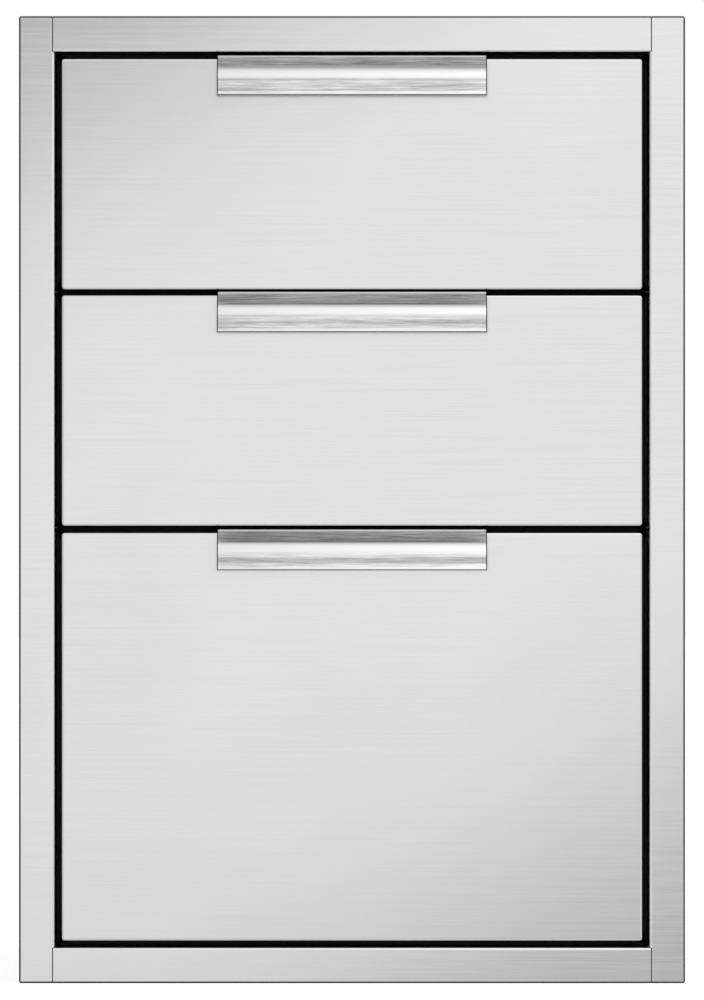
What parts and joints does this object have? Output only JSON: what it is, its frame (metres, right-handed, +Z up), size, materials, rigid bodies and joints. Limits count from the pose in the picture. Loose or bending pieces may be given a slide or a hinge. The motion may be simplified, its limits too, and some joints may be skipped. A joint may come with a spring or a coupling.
{
  "type": "outdoor kitchen drawer unit",
  "caption": "Built-in stainless steel drawer unit for an outdoor kitchen island, with a face frame, folded pull handles and drawers on ball slides.",
  "frame": {"origin": "half way across the cut-out, on the front face of the island, at the level of the sill that the housing stands on", "axes": "+X to the right of someone facing the drawers, -Y the way the drawers open, +Z up"},
  "size_m": [0.445, 0.5396, 0.646],
  "materials": {
    "frame_steel": "fine horizontal brushing, satin",
    "front_steel": "fine horizontal brushing, satin",
    "handle_steel": "fine brushing along its length, semi-bright",
    "housing_steel": "mill finish, dull",
    "divider_steel": "mill finish, dull",
    "liner_steel": "mill finish, dull",
    "box_steel": "mill finish, satin",
    "slide_steel": "bright zinc plating",
    "cage_steel": "oiled strip with polished balls",
    "gasket_rubber": "matt black"
  },
  "bodies": {
    "cabinet": {"frame_stile_right": "frame_steel", "frame_stile_left": "frame_steel", "frame_rail_bottom": "frame_steel", "frame_rail_top": "frame_steel", "housing_side_right": "housing_steel", "housing_side_left": "housing_steel", "housing_floor": "housing_steel", "housing_top": "housing_steel", "housing_back": "housing_steel", "divider_upper": "divider_steel", "divider_lower": "divider_steel", "slide_top_right_outer": "slide_steel", "slide_top_left_outer": "slide_steel", "slide_centre_right_outer": "slide_steel", "slide_centre_left_outer": "slide_steel", "slide_bottom_right_outer": "slide_steel", "slide_bottom_left_outer": "slide_steel"},
    "drawer_top": {"drawer_top_front": "front_steel", "drawer_top_liner": "liner_steel", "drawer_top_gasket": "gasket_rubber", "drawer_top_handle": "handle_steel", "drawer_top_box": "box_steel", "drawer_top_box_back": "box_steel", "slide_top_right_inner": "slide_steel", "slide_top_left_inner": "slide_steel"},
    "intermediates_top": {"slide_top_right_intermediate": "slide_steel", "slide_top_left_intermediate": "slide_steel"},
    "outer_cages_top": {"slide_top_right_outer_cage": "cage_steel", "slide_top_left_outer_cage": "cage_steel"},
    "inner_cages_top": {"slide_top_right_inner_cage": "cage_steel", "slide_top_left_inner_cage": "cage_steel"},
    "drawer_centre": {"drawer_centre_front": "front_steel", "drawer_centre_liner": "liner_steel", "drawer_centre_gasket": "gasket_rubber", "drawer_centre_handle": "handle_steel", "drawer_centre_box": "box_steel", "drawer_centre_box_back": "box_steel", "slide_centre_right_inner": "slide_steel", "slide_centre_left_inner": "slide_steel"},
    "intermediates_centre": {"slide_centre_right_intermediate": "slide_steel", "slide_centre_left_intermediate": "slide_steel"},
    "outer_cages_centre": {"slide_centre_right_outer_cage": "cage_steel", "slide_centre_left_outer_cage": "cage_steel"},
    "inner_cages_centre": {"slide_centre_right_inner_cage": "cage_steel", "slide_centre_left_inner_cage": "cage_steel"},
    "drawer_bottom": {"drawer_bottom_front": "front_steel", "drawer_bottom_liner": "liner_steel", "drawer_bottom_gasket": "gasket_rubber", "drawer_bottom_handle": "handle_steel", "drawer_bottom_box": "box_steel", "drawer_bottom_box_back": "box_steel", "slide_bottom_right_inner": "slide_steel", "slide_bottom_left_inner": "slide_steel"},
    "intermediates_bottom": {"slide_bottom_right_intermediate": "slide_steel", "slide_bottom_left_intermediate": "slide_steel"},
    "outer_cages_bottom": {"slide_bottom_right_outer_cage": "cage_steel", "slide_bottom_left_outer_cage": "cage_steel"},
    "inner_cages_bottom": {"slide_bottom_right_inner_cage": "cage_steel", "slide_bottom_left_inner_cage": "cage_steel"}
  },
  "joints": [
    {"name": "drawer_top_slide", "type": "slide", "parent": "cabinet", "child": "drawer_top", "axis": [0, -1, 0], "range_m": [0, 0.43]},
    {"name": "intermediates_top_slide", "type": "slide", "parent": "cabinet", "child": "intermediates_top", "axis": [0, -1, 0], "range_m": [0, 0.215]},
    {"name": "outer_cages_top_slide", "type": "slide", "parent": "cabinet", "child": "outer_cages_top", "axis": [0, -1, 0], "range_m": [0, 0.1075]},
    {"name": "inner_cages_top_slide", "type": "slide", "parent": "cabinet", "child": "inner_cages_top", "axis": [0, -1, 0], "range_m": [0, 0.3225]},
    {"name": "drawer_centre_slide", "type": "slide", "parent": "cabinet", "child": "drawer_centre", "axis": [0, -1, 0], "range_m": [0, 0.43]},
    {"name": "intermediates_centre_slide", "type": "slide", "parent": "cabinet", "child": "intermediates_centre", "axis": [0, -1, 0], "range_m": [0, 0.215]},
    {"name": "outer_cages_centre_slide", "type": "slide", "parent": "cabinet", "child": "outer_cages_centre", "axis": [0, -1, 0], "range_m": [0, 0.1075]},
    {"name": "inner_cages_centre_slide", "type": "slide", "parent": "cabinet", "child": "inner_cages_centre", "axis": [0, -1, 0], "range_m": [0, 0.3225]},
    {"name": "drawer_bottom_slide", "type": "slide", "parent": "cabinet", "child": "drawer_bottom", "axis": [0, -1, 0], "range_m": [0, 0.43]},
    {"name": "intermediates_bottom_slide", "type": "slide", "parent": "cabinet", "child": "intermediates_bottom", "axis": [0, -1, 0], "range_m": [0, 0.215]},
    {"name": "outer_cages_bottom_slide", "type": "slide", "parent": "cabinet", "child": "outer_cages_bottom", "axis": [0, -1, 0], "range_m": [0, 0.1075]},
    {"name": "inner_cages_bottom_slide", "type": "slide", "parent": "cabinet", "child": "inner_cages_bottom", "axis": [0, -1, 0], "range_m": [0, 0.3225]}
  ],
  "couplings": [
    {"joint": "intermediates_top_slide", "follows": "drawer_top_slide", "ratio": 0.5},
    {"joint": "outer_cages_top_slide", "follows": "drawer_top_slide", "ratio": 0.25},
    {"joint": "inner_cages_top_slide", "follows": "drawer_top_slide", "ratio": 0.75},
    {"joint": "intermediates_centre_slide", "follows": "drawer_centre_slide", "ratio": 0.5},
    {"joint": "outer_cages_centre_slide", "follows": "drawer_centre_slide", "ratio": 0.25},
    {"joint": "inner_cages_centre_slide", "follows": "drawer_centre_slide", "ratio": 0.75},
    {"joint": "intermediates_bottom_slide", "follows": "drawer_bottom_slide", "ratio": 0.5},
    {"joint": "outer_cages_bottom_slide", "follows": "drawer_bottom_slide", "ratio": 0.25},
    {"joint": "inner_cages_bottom_slide", "follows": "drawer_bottom_slide", "ratio": 0.75}
  ]
}
